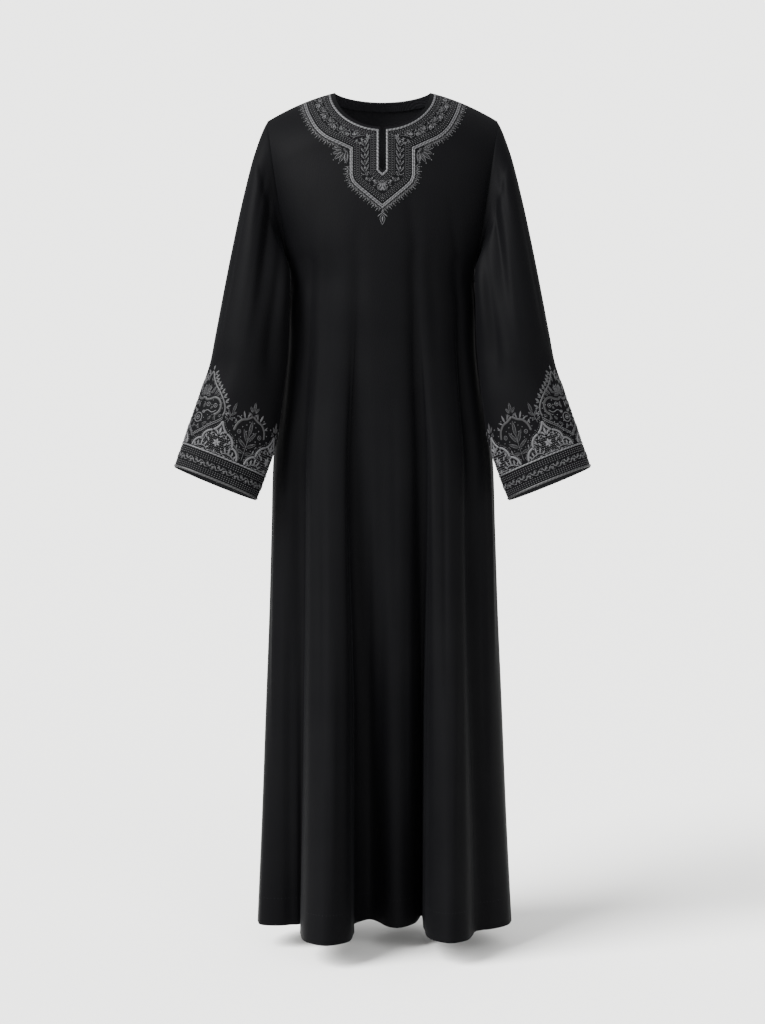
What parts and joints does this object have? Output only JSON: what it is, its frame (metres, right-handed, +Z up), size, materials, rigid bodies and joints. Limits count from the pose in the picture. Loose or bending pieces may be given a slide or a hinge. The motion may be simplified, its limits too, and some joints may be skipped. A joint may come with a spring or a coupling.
{
  "type": "abaya",
  "caption": "Full-length pull-over abaya with bell sleeves, round slit neck, embroidered yoke and cuffs, and a deeply folded hem, hollow as worn.",
  "frame": {"origin": "On the middle line, level with the shoulder seams 86 mm from it and 1.2 mm below the neck points, where the wearer's shoulders hold the garment up.", "axes": "+Z is up along the garment, the front faces -Y, and the wearer's left is +X."},
  "size_m": [0.7038, 0.3509, 1.4304],
  "materials": {
    "crepe": "black matte crepe with a soft sheen",
    "neck_tape": "charcoal woven tape",
    "embroidery": "grey thread embroidery on black cloth",
    "cord": "silver grey twisted cord, couched down"
  },
  "bodies": {
    "root": {"front_panel": "crepe", "back_panel": "crepe", "sleeve_left": "crepe", "sleeve_right": "crepe", "neck_facing": "neck_tape", "yoke_plate": "embroidery", "cuff_plate_left": "embroidery", "cuff_plate_right": "embroidery", "neck_cord": "cord", "yoke_cord": "cord", "cuff_edge_cord_left": "cord", "cuff_edge_cord_right": "cord", "cuff_top_cord_left": "cord", "cuff_top_cord_right": "cord"}
  },
  "joints": []
}
